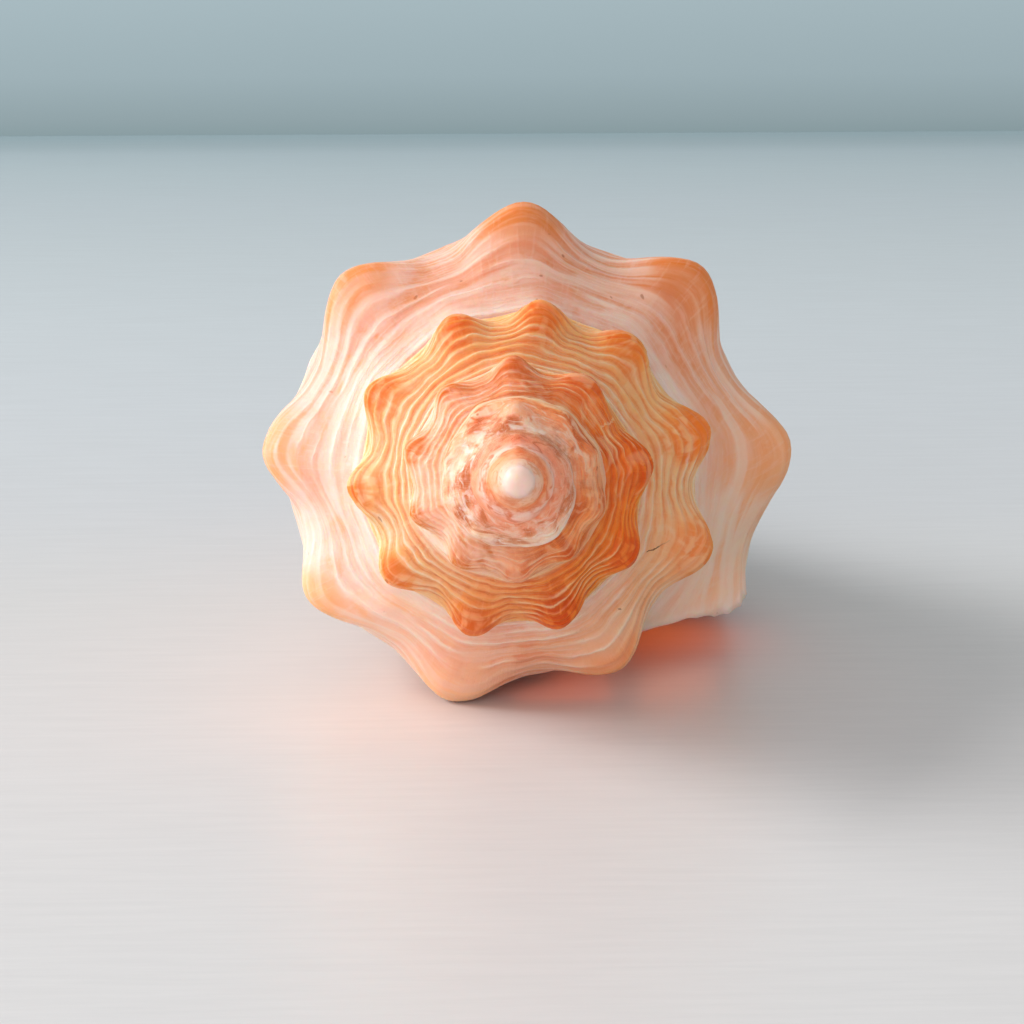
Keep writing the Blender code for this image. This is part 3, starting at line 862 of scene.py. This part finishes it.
def shell_material():
    """Aragonite of an old horse conch, laid down in fine layers and rubbed matt at the apex.

    It is hard and a little see-through, so thin edges and crests glow, under a satin skin.
    """
    material, tree, surface = new_material("aragonite_shell")
    add = partial(node, tree)
    shown = partial(masked, tree)
    place = add("ShaderNodeTexCoord", {}, {}).outputs["Object"]
    growth_map = add("ShaderNodeUVMap", {"uv_map": "growth"}, {})
    form_map = add("ShaderNodeUVMap", {"uv_map": "form"}, {})
    turn, cord = add(SPLIT, {}, {0: growth_map}).outputs[:2]
    knobbed, mouth = add(SPLIT, {}, {0: form_map}).outputs[:2]

    # Parts of the shell, each from the turn where it starts to the turn where it is full
    last = shown((turn, -1.05, -0.93))
    aged = shown((turn, -1.95, -2.15))
    worn = shown((turn, -2.92, -3.15))
    oldest = shown((turn, -3.9, -4.3))
    above_cone = shown((turn, -4.15, -3.95))
    near_lip = shown((turn, -0.16, -0.02))
    older, fresh = (add(MATH, LESS, {0: 1.0, 1: part}) for part in (last, worn))
    calm = add(MATH, TIMES_PLUS, {0: near_lip, 1: -0.6, 2: 1.0})
    # What differs between the older whorls and the last one
    shake, faintest, deep_most, tip_start, streak_most, wash_end, thread_most = (
        add(RANGE, {}, {"Value": last, "To Min": on_older, "To Max": on_last})
        for on_older, on_last in (
            (0.95, 0.50), (0.45, 1.0), (1.0, 0.62), (0.0, 3.6), (0.30, 0.20), (1.6, 3.2), (0.26, 0.34),
        )
    )

    # Age grows evenly outwards, also across a suture. The worn whorls are coloured by it
    share = add(MATH, TIMES, {0: cord, 1: 1 / WHORL_CORDS})
    age = add(MATH, PLUS, {0: turn, 1: share})
    late = add(MATH, LESS, {0: share, 1: 0.5})
    stage = add(MATH, TIMES_PLUS, {0: worn, 1: late, 2: turn})
    along = add(RANGE, {}, {"Value": stage, "From Min": -WHORLS, "From Max": 0.0})
    # Besides the shell's own colours, these ramps carry painted light: paler round each whorl where the
    # window light falls, deeper orange where shade falls
    ground, paler, deeper, light, furrow_most, line_most, tan_most = (
        add(RAMP, {"stops": per_turn(stops)}, {0: along})
        for stops in (GROUND, PALER, DEEPER, LIGHT, FURROW_GREYS, LINE_GREYS, TAN_GREYS)
    )

    # Mottling about 10, 3 and 1 mm across, grain of 0.3 mm, and the places of a few specks
    cloud, mottle, fleck, grain, specks = (
        add(NOISE, {}, {"Vector": place, "Scale": scale, "Detail": detail, "Roughness": rough})
        for scale, detail, rough in (
            (95.0, 3.0, 0.5), (300.0, 4.0, 0.6), (900.0, 4.0, 0.65), (3200.0, 2.0, 0.5), (900.0, 0.0, 0.5),
        )
    )
    # By turn and cord: growth lines, about 260 to the turn, where the animal rested; streaks along
    # the cords, eight times longer than wide; veils 1.5 mm wide and very long; bands 2 mm apart
    rests, streaks, veils, bands = (
        add(NOISE, FLAT, {
            "Vector": add(MAPPING, {}, {"Vector": growth_map, "Scale": (turns, cords, 1.0)}),
            "Scale": 1.0, "Detail": detail, "Roughness": rough, "Distortion": twist,
        })
        for turns, cords, detail, rough, twist in (
            (260.0, 0.45, 3.0, 0.6, 0.0),
            (34.0, 2.6, 3.0, 0.55, 0.0),
            (9.0, 0.9, 2.0, 0.5, 0.3),
            (62.0, 0.45, 2.0, 0.5, 0.5),
        )
    )
    # Folds of the worn whorls, along the spiral: 3 mm long and 0.8 mm wide, and finer scales
    angle = add(MATH, TIMES, {0: turn, 1: 2 * math.pi})
    circle = [add(MATH, {"operation": kind}, {0: angle}) for kind in ("COSINE", "SINE")]
    rings = add(JOIN, {}, {0: circle[0], 1: circle[1], 2: age})
    folds, scales = (
        add(NOISE, {}, {
            "Vector": add(MAPPING, {}, {"Vector": rings, "Scale": fineness}),
            "Scale": 1.0, "Detail": detail, "Roughness": 0.5, "Distortion": twist,
        })
        for fineness, detail, twist in (((1.9, 1.9, 3.4), 2.0, 1.2), ((2.8, 2.8, 6.5), 2.5, 1.6))
    )

    # The crest of each cord, as a thin line that shakes, fades and comes back
    shaken = add(MATH, LESS, {0: mottle, 1: 0.5})
    shaken = add(MATH, TIMES_PLUS, {0: shaken, 1: shake, 2: cord})
    shaken = add(MATH, TIMES_PLUS, {0: fleck, 1: 0.22, 2: shaken})
    shaken = add(MATH, LESS, {0: shaken, 1: 0.11})
    crest = add(MATH, ZIGZAG, {0: shaken, 1: 0.5})
    edge = {"Value": streaks, "From Min": 0.35, "From Max": 0.65, "To Min": 0.30, "To Max": 0.41}
    core = shown((crest, add(RANGE, {}, edge), 0.485, 0.65))
    halo = shown((crest, 0.22, 0.49, 0.35))
    line = add(MATH, PLUS, {0: core, 1: halo})
    which = add(MATH, FLOOR, {0: cord})
    which = add(MATH, TIMES, {0: which, 1: 3.7})
    turns = add(MATH, TIMES, {0: turn, 1: 13.0})
    apart = add(JOIN, {}, {0: turns, 1: which})
    strength = add(NOISE, FLAT, {"Vector": apart, "Scale": 1.0, "Detail": 1.0})
    strength = shown((strength, 0.38, 0.60, 1.0, 0.05))
    faded = shown((cloud, 0.38, 0.56, 1.0, faintest))
    # No line crosses the smooth top of a knob
    knob_top = shown((cord, 4.4, 5.8), shown((cord, 10.6, 9.6)), shown((knobbed, 0.25, 0.65)))
    bare = add(MATH, LESS, {0: 1.0, 1: knob_top})
    line = shown(line, strength, fresh, faded, bare, calm)

    # Finer threads between the cords, three to each, strongest between knobs and near a suture
    threads = add(MATH, TIMES_PLUS, {0: shaken, 1: 3.0, 2: streaks})
    threads = add(MATH, ZIGZAG, {0: threads, 1: 0.5})
    between = {"Value": knobbed, "From Min": 0.45, "From Max": 0.0, "To Min": 0.0, "To Max": 0.75}
    between = add(MATH, LARGER, {0: add(RANGE, {}, between), 1: shown((cord, 3.6, 0.4))})
    patchy = shown((cloud, 0.38, 0.60, 1.0, 0.15))
    thread = shown((threads, 0.24, 0.46), between, patchy, fresh, calm)

    # Masks of the layers of colour
    pale = shown((cloud, 0.46, 0.66, 0.60))
    tip_end = add(MATH, PLUS, {0: tip_start, 1: 2.6})
    upper = shown((cord, tip_start, tip_end))
    tan = shown((knobbed, 0.35, 0.70), tan_most)
    unveiled = add(MATH, TIMES_PLUS, {0: tan, 1: -0.7, 2: 1.0})
    patched = shown((streaks, 0.38, 0.58, 1.0, 0.25))
    uneven = {"Value": mottle, "From Min": 0.35, "From Max": 0.65, "To Min": 0.15, "To Max": 0.85}
    uneven = add(RANGE, {}, uneven)
    fold_most = add(RANGE, {}, {"Value": oldest, "To Min": 1.0, "To Max": 0.22})
    scale = shown((scales, 0.50, 0.68, 0.60), fold_most)
    fold = shown((folds, 0.50, 0.70, 0.45), fold_most)
    fold = add(MATH, LARGER, {0: fold, 1: scale})
    fold = add(MATH, LARGER, {0: fold, 1: shown((cord, 9.2, 11.2, 0.7), above_cone)})
    rubbed = add(MATH, LARGER, {0: shown(aged, 0.55), 1: worn})
    leant = add(MATH, TIMES_PLUS, {0: turn, 1: 78.0, 2: 75.75})
    crack = scar(tree, (cord, leant, fleck, 0.5), turn, (-1.0215, -0.9990), 0.07)
    crack = shown(crack, shown((mottle, 0.36, 0.48, 0.9, 0.2)))
    leant = add(MATH, TIMES_PLUS, {0: turn, 1: 60.0, 2: 52.6})
    chip = scar(tree, (cord, leant, fleck, 0.5), turn, (-0.9390, -0.9362), 0.09)
    gap = add(MATH, LARGER, {0: crack, 1: shown(chip, 0.55)})
    broke = add(MATH, TIMES_PLUS, {0: turn, 1: 170.0, 2: 365.9})
    healed = scar(tree, (broke, 0.0, fleck, 4.5), cord, (3.4, 7.0), 0.40)
    inside = shown((mouth, 0.35, 1.0))
    lining = add(MIX, COLOUR, {"Factor": pale, "A": linear("E2500E"), "B": linear("EC7A38")})

    base = add(MIX, COLOUR, {"Factor": pale, "A": ground, "B": paler})
    for blend, colour, reach, *masks in (
        (COLOUR, deeper, (mottle, 0.48, 0.64, deep_most)),
        # Knobs are deepest in colour, and the middle whorls are paler between their knobs
        (COLOUR, deeper, (knobbed, 0.20, 0.75), upper),
        (COLOUR, paler, (knobbed, 0.42, 0.05, 0.55), older, fresh),
        # Bands across the middle whorls, streaks along all and veils along the last
        (COLOUR, paler, (bands, 0.48, 0.66, 0.60), older, fresh),
        (COLOUR, paler, (streaks, 0.46, 0.68, streak_most)),
        (COLOUR, paler, (veils, 0.44, 0.62, 0.65), last, unveiled),
        # The tips of the last whorl's knobs are tan. The tan is weaker on the left knob, where the window
        # light falls, as painted light
        (TINT, linear("FEF8EC"), tan),
        # Furrows between the cords are deeper in colour, most of all on the middle whorls: their own deeper
        # orange, and painted shade in the furrows
        (COLOUR, deeper, (crest, 0.26, 0.04), furrow_most, patched, fresh),
        # A cream wash beside each suture, broad on the last whorl
        (COLOUR, light, (cord, wash_end, 0.1), uneven, fresh),
        # The worn whorls: orange-brown hollows, then pale folds, scales and a cream rim
        (COLOUR, deeper, (folds, 0.50, 0.32, 0.8), aged),
        (COLOUR, light, fold, rubbed),
        # A darker band beside each suture of the younger whorls: painted shade in the suture's crease, over
        # the reddish-brown line the shell has there
        (COLOUR, linear("B8622F"), (cord, 0.55, 0.05, 0.40), fresh),
        (COLOUR, light, thread, thread_most),
        (COLOUR, light, line, line_most),
        # Faint growth lines, and the lip's pale margin
        (COLOUR, paler, (rests, 0.50, 0.75, 0.20)),
        (COLOUR, light, (turn, -0.014, 0.0, 0.6)),
        # A small dark crack, 2.5 mm long and 0.1 mm wide, where the last whorl begins, and a chip
        (COLOUR, linear("6B3F18"), gap),
        # A few brown specks, 0.3 mm across, and a pale healed break on a middle whorl's shoulder
        (COLOUR, linear("A85A2C"), (specks, 0.83, 0.88, 0.6)),
        (COLOUR, light, healed, 0.45),
        # The lining of the mouth is glossy orange, pale at its edge
        (COLOUR, lining, inside),
    ):
        base = add(MIX, blend, {"Factor": shown(reach, *masks), "A": base, "B": colour})
    plug(base, surface.inputs["Base Color"])

    # Satin, drier where it is worn and where it is mottled, and glossy inside
    rough = {"Value": fleck, "From Min": 0.3, "From Max": 0.7, "To Min": 0.36, "To Max": 0.56}
    rough = add(MATH, TIMES_PLUS, {0: worn, 1: 0.06, 2: add(RANGE, {}, rough)})
    rough = add(MATH, TIMES_PLUS, {0: inside, 1: -0.16, 2: rough})
    plug(rough, surface.inputs["Roughness"])

    # Relief too fine for the mesh: crests and threads 0.05 mm high, rests, flecks, grain and folds
    fleck_height = add(RANGE, {}, {"Value": oldest, "To Min": 0.60, "To Max": 0.10})
    folded = add(MATH, PLUS, {0: folds, 1: scales})
    fold_height = add(MATH, TIMES_PLUS, {0: oldest, 1: -0.85, 2: aged})
    folded = shown(folded, fold_height)
    height = shown(line, 0.70)
    for value, much in (
        (thread, 0.40), (rests, 0.45), (streaks, 0.45), (fleck, fleck_height), (grain, 0.10), (folded, 1.5),
    ):
        height = add(MATH, TIMES_PLUS, {0: value, 1: much, 2: height})
    height = add(MATH, LESS, {0: height, 1: gap})
    bump = add(BUMP, {}, {"Strength": 1.0, "Distance": 0.00011, "Height": height})
    plug(bump, surface.inputs["Normal"])

    for name, value in (
        ("IOR", 1.53),
        ("Specular IOR Level", 0.20),
        ("Subsurface Weight", 0.70),
        ("Subsurface Radius", (1.0, 0.42, 0.22)),
        ("Subsurface Scale", 0.003),
        ("Coat Weight", 0.05),
        ("Coat Roughness", 0.28),
    ):
        surface.inputs[name].default_value = value
    return material


def add_plane(name, material):
    """A stage plane of 1 m, for its corners to be moved."""
    bpy.ops.mesh.primitive_plane_add(size=1, location=(0, 0, 0))
    plane = bpy.context.object
    plane.name = name
    plane.data.materials.append(material)
    return plane


def table_material():
    """White paint brushed on wood: satin, with faint marks, and painted shade that greys it towards the far
    end.
    """
    material, tree, surface = new_material("painted_table")
    surface.inputs["Roughness"].default_value = 0.38
    place = node(tree, "ShaderNodeTexCoord", {}, {}).outputs["Object"]
    # Painted shade: darker and bluer towards the far end, with a painted shadow along that edge
    depth = node(tree, SPLIT, {}, {0: place}).outputs[1]
    depth = node(tree, RANGE, {}, {"Value": depth, "From Min": PAINTED_SHADE_START, "From Max": TABLE_END})
    shades = [((y - PAINTED_SHADE_START) / (TABLE_END - PAINTED_SHADE_START), colour) for y, colour in TABLE_COLOUR_AND_PAINTED_SHADE]
    shade = node(tree, RAMP, {"stops": shades}, {0: depth})
    # The marks run from side to side, a centimetre long and a millimetre apart
    marks = node(tree, MAPPING, {}, {"Vector": place, "Scale": (36.0, 420.0, 1.0)})
    brushed = node(tree, NOISE, {}, {"Vector": marks, "Scale": 2.0, "Detail": 4.0, "Roughness": 0.6})
    faint = {"Value": brushed, "From Min": 0.3, "From Max": 0.7, "To Min": 0.0, "To Max": 0.085}
    faint = node(tree, RANGE, {}, faint)
    colour = node(tree, MIX, COLOUR, {"Factor": faint, "A": shade, "B": linear("8E8C8C")})
    plug(colour, surface.inputs["Base Color"])
    bump = node(tree, BUMP, {}, {"Strength": 0.35, "Distance": 0.0001, "Height": brushed})
    plug(bump, surface.inputs["Normal"])
    return material


def wall_material():
    """Blue-grey wall paint, matt, with painted shade that darkens it near the table."""
    material, tree, surface = new_material("painted_wall")
    surface.inputs["Roughness"].default_value = 0.8
    place = node(tree, "ShaderNodeTexCoord", {}, {}).outputs["Object"]
    # Painted shade at the foot of the wall
    height = node(tree, SPLIT, {}, {0: place}).outputs[2]
    height = node(tree, RANGE, {}, {"Value": height, "From Min": -0.10, "From Max": -0.06})
    plug(node(tree, RAMP, {"stops": WALL_COLOUR_AND_PAINTED_SHADE}, {0: height}), surface.inputs["Base Color"])
    return material


def build_stage():
    """A pale satin table with a blue-grey wall well behind it."""
    table = add_plane("table", table_material())
    for vert in table.data.vertices:
        vert.co = (vert.co.x * TABLE_WIDTH, TABLE_END if vert.co.y > 0 else TABLE_FRONT, 0)
    wall = add_plane("wall", wall_material())
    for vert in wall.data.vertices:
        vert.co = (vert.co.x * WALL_WIDTH, WALL_PLACE, WALL_MIDDLE + vert.co.y * WALL_HEIGHT)


def add_camera(apex):
    """The camera, from the direction in which it sees the apex."""
    axis = Vector((0, math.cos(TILT), -math.sin(TILT)))
    right = Vector((1, 0, 0))
    over = right.cross(axis)
    sight = (axis + SIGHT_LEAN[0] * right + SIGHT_LEAN[1] * over).normalized()
    data = bpy.data.cameras.new("camera")
    data.lens = LENS
    data.sensor_width = SENSOR
    data.clip_start = 0.01
    camera = bpy.data.objects.new("camera", data)
    bpy.context.scene.collection.objects.link(camera)
    # The camera is turned from the line of sight so that the apex stands off the middle
    aside, above = (share * SENSOR / LENS for share in APEX_IN_VIEW)
    level = sight.cross(Vector((0, 0, 1))).normalized()
    look = (sight - aside * level - above * level.cross(sight)).normalized()
    turn = look.to_track_quat("-Z", "Y").to_matrix().to_4x4()
    camera.matrix_world = Matrix.Translation(apex - sight * APEX_DISTANCE * MM) @ turn
    bpy.context.scene.camera = camera


def hang_light(name, place, power, size, aim=(0, 0, 0.02), colour=(1.0, 1.0, 1.0)):
    """A soft square light turned towards the shell, or towards its aim."""
    light = bpy.data.lights.new(name, "AREA")
    light.energy = power
    light.size = size
    light.color = colour
    lamp = bpy.data.objects.new(name, light)
    bpy.context.scene.collection.objects.link(lamp)
    lamp.location = place
    lamp.rotation_euler = (Vector(aim) - lamp.location).to_track_quat("-Z", "Y").to_euler()


def add_lights(apex):
    """A broad window to the left, a faint light in front, an even room and three warm glows."""
    world = bpy.data.worlds.new("room")
    world.use_nodes = True
    air = world.node_tree.nodes["Background"]
    air.inputs["Color"].default_value = (1.0, 1.0, 1.0, 1.0)
    air.inputs["Strength"].default_value = ROOM_LIGHT
    bpy.context.scene.world = world
    height, bearing = math.radians(WINDOW_HEIGHT), math.radians(WINDOW_BEARING)
    flat = math.cos(height)
    window = Vector((-flat * math.cos(bearing), flat * math.sin(bearing), math.sin(height)))
    hang_light("window", WINDOW_DISTANCE * window, WINDOW_POWER, WINDOW_SIZE)
    hang_light("fill", FILL_PLACE, FILL_POWER, WINDOW_SIZE)
    # Inside the mouth, just behind the lip, where the wall lets orange light through to the table
    spot = Vector(around(*(np.array(value) for value in GLOW_SPOT)) - (0, 0, CROWN))
    spot = apex + turned() @ spot * MM
    aim = (spot.x + GLOW_AIM[0], spot.y + GLOW_AIM[1], 0)
    hang_light("through_the_shell", spot, GLOW_POWER, GLOW_SIZE, aim, GLOW_COLOUR)
    # The underside of the last whorl throws warm light down, and lets some through
    for name, place, aim, size, power, colour in GLOWS:
        hang_light(name, Vector(place) * MM, power, size, Vector(aim) * MM, colour)


def main():
    bpy.context.scene.view_settings.view_transform = "Standard"
    skin = closed_skin(shell_material())
    thin_out(skin)
    apex = lay_down(skin)
    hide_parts("shell")
    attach(skin, "root")
    build_stage()
    add_camera(apex)
    add_lights(apex)


main()
